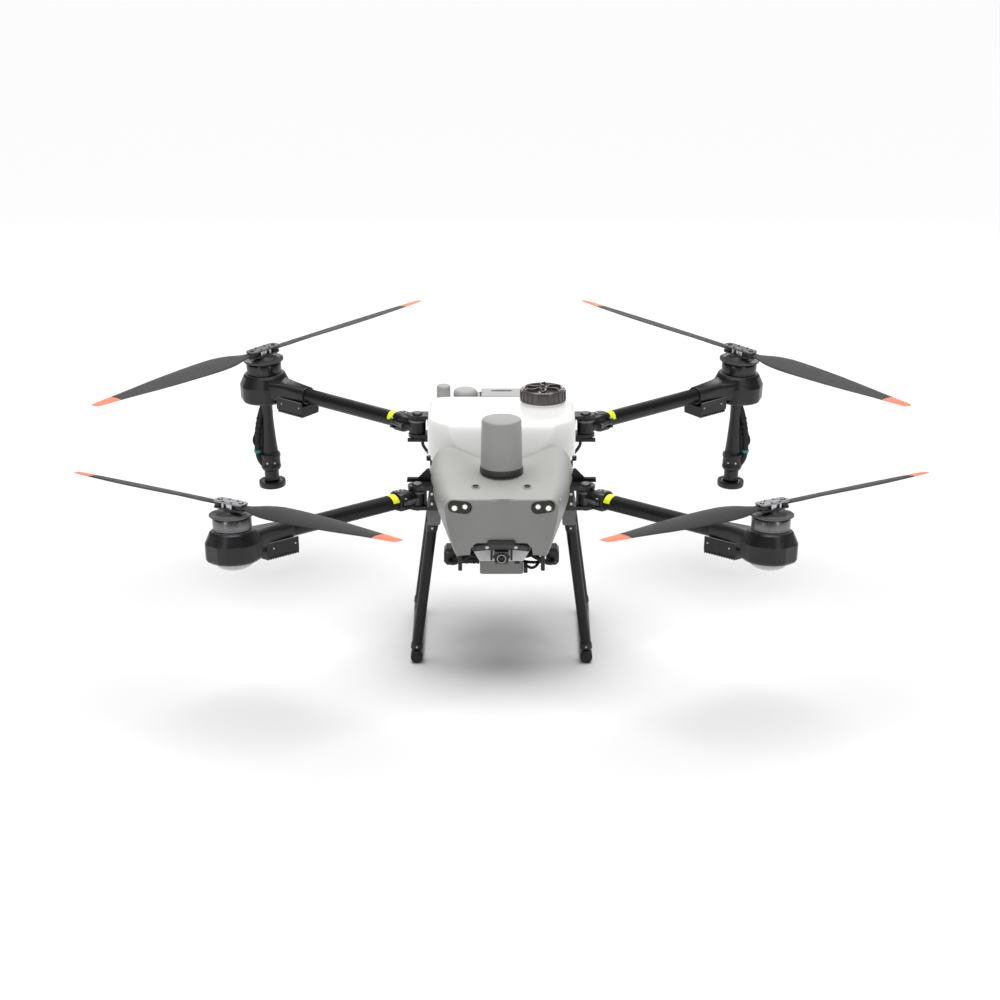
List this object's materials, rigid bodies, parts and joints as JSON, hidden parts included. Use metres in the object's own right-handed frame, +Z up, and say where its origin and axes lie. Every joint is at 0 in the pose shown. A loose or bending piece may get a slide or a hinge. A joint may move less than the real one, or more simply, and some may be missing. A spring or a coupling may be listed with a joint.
{
  "type": "agricultural spray drone",
  "caption": "Folding rotor aircraft for field spraying, with a lift-out tank and battery, swinging arms with folding blades, spray heads under the rear motors and skid landing gear.",
  "frame": {"origin": "on the ground under the middle of the machine", "axes": "+Z up, the nose faces -Y, +X is the right-hand side seen from in front"},
  "size_m": [2.3398, 2.1963, 0.7165],
  "materials": {
    "black_plastic": "satin",
    "carbon_tube": "satin",
    "lever_metal": "satin",
    "heat_sink": "matt",
    "motor_metal": "satin",
    "blade_composite": "matt",
    "pale_grey_plastic": "satin",
    "mid_grey_plastic": "satin",
    "dark_grey_plastic": "satin",
    "tank_plastic": "satin, milky",
    "lid_plastic": "gloss, smoked"
  },
  "bodies": {
    "frame": {"frame_tray": "black_plastic", "side_frame_left": "black_plastic", "side_frame_right": "black_plastic", "nose_shell": "pale_grey_plastic", "avionics_box": "pale_grey_plastic", "vision_window_left": "black_plastic", "vision_window_right": "black_plastic", "radar_ring": "dark_grey_plastic", "radar_dome": "mid_grey_plastic", "gimbal_bracket": "black_plastic", "belly_radar": "mid_grey_plastic", "pump_left": "black_plastic", "pump_right": "black_plastic", "antenna_rod_left": "black_plastic", "antenna_rod_right": "black_plastic", "rear_shell": "pale_grey_plastic", "rear_antenna": "mid_grey_plastic", "satellite_antenna": "mid_grey_plastic", "front_leg_left": "carbon_tube", "front_leg_right": "carbon_tube", "rear_leg_left": "carbon_tube", "rear_leg_right": "carbon_tube", "skid_left": "carbon_tube", "skid_right": "carbon_tube"},
    "tank": {"tank": "tank_plastic"},
    "tank_lid": {"tank_lid": "lid_plastic"},
    "battery": {"battery": "mid_grey_plastic"},
    "gimbal_camera": {"gimbal_camera": "black_plastic"},
    "arm_front_left": {"arm_front_left": "carbon_tube", "motor_housing_front_left": "black_plastic", "speed_controller_front_left": "heat_sink"},
    "lock_lever_front_left": {"lock_lever_front_left": "lever_metal"},
    "rotor_front_left": {"rotor_hub_front_left": "motor_metal"},
    "blade_outer_front_left": {"blade_outer_front_left": "blade_composite"},
    "blade_inner_front_left": {"blade_inner_front_left": "blade_composite"},
    "arm_front_right": {"arm_front_right": "carbon_tube", "motor_housing_front_right": "black_plastic", "speed_controller_front_right": "heat_sink"},
    "lock_lever_front_right": {"lock_lever_front_right": "lever_metal"},
    "rotor_front_right": {"rotor_hub_front_right": "motor_metal"},
    "blade_outer_front_right": {"blade_outer_front_right": "blade_composite"},
    "blade_inner_front_right": {"blade_inner_front_right": "blade_composite"},
    "arm_rear_left": {"arm_rear_left": "carbon_tube", "motor_housing_rear_left": "black_plastic", "speed_controller_rear_left": "heat_sink", "spray_head_left": "black_plastic"},
    "lock_lever_rear_left": {"lock_lever_rear_left": "lever_metal"},
    "rotor_rear_left": {"rotor_hub_rear_left": "motor_metal"},
    "blade_outer_rear_left": {"blade_outer_rear_left": "blade_composite"},
    "blade_inner_rear_left": {"blade_inner_rear_left": "blade_composite"},
    "spray_disc_left": {"spray_disc_left": "black_plastic"},
    "arm_rear_right": {"arm_rear_right": "carbon_tube", "motor_housing_rear_right": "black_plastic", "speed_controller_rear_right": "heat_sink", "spray_head_right": "black_plastic"},
    "lock_lever_rear_right": {"lock_lever_rear_right": "lever_metal"},
    "rotor_rear_right": {"rotor_hub_rear_right": "motor_metal"},
    "blade_outer_rear_right": {"blade_outer_rear_right": "blade_composite"},
    "blade_inner_rear_right": {"blade_inner_rear_right": "blade_composite"},
    "spray_disc_right": {"spray_disc_right": "black_plastic"}
  },
  "joints": [
    {"name": "tank_lift", "type": "slide", "parent": "frame", "child": "tank", "axis": [0, 0, 1], "range_m": [0, 0.3]},
    {"name": "lid_lift", "type": "slide", "parent": "tank", "child": "tank_lid", "axis": [0, 0, 1], "range_m": [0, 0.1]},
    {"name": "battery_lift", "type": "slide", "parent": "frame", "child": "battery", "axis": [0, 0, 1], "range_m": [0, 0.2]},
    {"name": "camera_tilt", "type": "hinge", "parent": "frame", "child": "gimbal_camera", "pos_m": [0, -0.362, 0.362], "axis": [1, 0, 0], "range_deg": [-30, 60]},
    {"name": "arm_fold_front_left", "type": "hinge", "parent": "frame", "child": "arm_front_left", "pos_m": [-0.23, -0.245, 0.498], "axis": [0, 0, -1], "range_deg": [0, 90]},
    {"name": "lever_front_left", "type": "hinge", "parent": "arm_front_left", "child": "lock_lever_front_left", "pos_m": [-0.25952, -0.31458, 0.498], "axis": [0, 0, -1], "range_deg": [0, 80]},
    {"name": "rotor_spin_front_left", "type": "hinge", "parent": "arm_front_left", "child": "rotor_front_left", "pos_m": [-0.7025, -0.6575, 0.498], "axis": [-0.0459, 0.0525, 0.9976], "continuous": true},
    {"name": "blade_fold_outer_front_left", "type": "hinge", "parent": "rotor_front_left", "child": "blade_outer_front_left", "pos_m": [-0.73627, -0.62462, 0.59897], "axis": [-0.0459, 0.0525, 0.9976], "range_deg": [0, 80]},
    {"name": "blade_fold_inner_front_left", "type": "hinge", "parent": "rotor_front_left", "child": "blade_inner_front_left", "pos_m": [-0.67827, -0.67944, 0.60452], "axis": [0.0459, -0.0525, -0.9976], "range_deg": [0, 80]},
    {"name": "arm_fold_front_right", "type": "hinge", "parent": "frame", "child": "arm_front_right", "pos_m": [0.23, -0.245, 0.498], "axis": [0, 0, 1], "range_deg": [0, 90]},
    {"name": "lever_front_right", "type": "hinge", "parent": "arm_front_right", "child": "lock_lever_front_right", "pos_m": [0.25952, -0.31458, 0.498], "axis": [0, 0, 1], "range_deg": [0, 80]},
    {"name": "rotor_spin_front_right", "type": "hinge", "parent": "arm_front_right", "child": "rotor_front_right", "pos_m": [0.7025, -0.6575, 0.498], "axis": [0.0459, 0.0525, 0.9976], "continuous": true},
    {"name": "blade_fold_outer_front_right", "type": "hinge", "parent": "rotor_front_right", "child": "blade_outer_front_right", "pos_m": [0.73627, -0.62462, 0.59897], "axis": [-0.0459, -0.0525, -0.9976], "range_deg": [0, 80]},
    {"name": "blade_fold_inner_front_right", "type": "hinge", "parent": "rotor_front_right", "child": "blade_inner_front_right", "pos_m": [0.67827, -0.67944, 0.60452], "axis": [0.0459, 0.0525, 0.9976], "range_deg": [0, 80]},
    {"name": "arm_fold_rear_left", "type": "hinge", "parent": "frame", "child": "arm_rear_left", "pos_m": [-0.24, 0.229, 0.562], "axis": [0, 0, 1], "range_deg": [0, 105]},
    {"name": "lever_rear_left", "type": "hinge", "parent": "arm_rear_left", "child": "lock_lever_rear_left", "pos_m": [-0.31231, 0.25101, 0.562], "axis": [0, 0, -1], "range_deg": [0, 80]},
    {"name": "rotor_spin_rear_left", "type": "hinge", "parent": "arm_rear_left", "child": "rotor_rear_left", "pos_m": [-0.7025, 0.6575, 0.562], "axis": [-0.0474, -0.0512, 0.9976], "continuous": true},
    {"name": "blade_fold_outer_rear_left", "type": "hinge", "parent": "rotor_rear_left", "child": "blade_outer_rear_left", "pos_m": [-0.73643, 0.62477, 0.66296], "axis": [0.0474, 0.0512, -0.9976], "range_deg": [0, 80]},
    {"name": "blade_fold_inner_rear_left", "type": "hinge", "parent": "rotor_rear_left", "child": "blade_inner_rear_left", "pos_m": [-0.67843, 0.67959, 0.66853], "axis": [-0.0474, -0.0512, 0.9976], "range_deg": [0, 80]},
    {"name": "spray_disc_spin_left", "type": "hinge", "parent": "arm_rear_left", "child": "spray_disc_left", "pos_m": [-0.7025, 0.6575, 0.562], "axis": [-0.0474, -0.0512, 0.9976], "continuous": true},
    {"name": "arm_fold_rear_right", "type": "hinge", "parent": "frame", "child": "arm_rear_right", "pos_m": [0.24, 0.229, 0.562], "axis": [0, 0, -1], "range_deg": [0, 105]},
    {"name": "lever_rear_right", "type": "hinge", "parent": "arm_rear_right", "child": "lock_lever_rear_right", "pos_m": [0.31231, 0.25101, 0.562], "axis": [0, 0, 1], "range_deg": [0, 80]},
    {"name": "rotor_spin_rear_right", "type": "hinge", "parent": "arm_rear_right", "child": "rotor_rear_right", "pos_m": [0.7025, 0.6575, 0.562], "axis": [0.0474, -0.0512, 0.9976], "continuous": true},
    {"name": "blade_fold_outer_rear_right", "type": "hinge", "parent": "rotor_rear_right", "child": "blade_outer_rear_right", "pos_m": [0.73643, 0.62477, 0.66296], "axis": [0.0474, -0.0512, 0.9976], "range_deg": [0, 80]},
    {"name": "blade_fold_inner_rear_right", "type": "hinge", "parent": "rotor_rear_right", "child": "blade_inner_rear_right", "pos_m": [0.67843, 0.67959, 0.66853], "axis": [-0.0474, 0.0512, -0.9976], "range_deg": [0, 80]},
    {"name": "spray_disc_spin_right", "type": "hinge", "parent": "arm_rear_right", "child": "spray_disc_right", "pos_m": [0.7025, 0.6575, 0.562], "axis": [0.0474, -0.0512, 0.9976], "continuous": true}
  ],
  "couplings": [
    {"joint": "blade_fold_outer_front_left", "follows": "arm_fold_front_left", "ratio": 0.888},
    {"joint": "blade_fold_inner_front_left", "follows": "arm_fold_front_left", "ratio": 0.888},
    {"joint": "blade_fold_outer_front_right", "follows": "arm_fold_front_right", "ratio": 0.888},
    {"joint": "blade_fold_inner_front_right", "follows": "arm_fold_front_right", "ratio": 0.888},
    {"joint": "blade_fold_outer_rear_left", "follows": "arm_fold_rear_left", "ratio": 0.761},
    {"joint": "blade_fold_inner_rear_left", "follows": "arm_fold_rear_left", "ratio": 0.761},
    {"joint": "blade_fold_outer_rear_right", "follows": "arm_fold_rear_right", "ratio": 0.761},
    {"joint": "blade_fold_inner_rear_right", "follows": "arm_fold_rear_right", "ratio": 0.761}
  ]
}
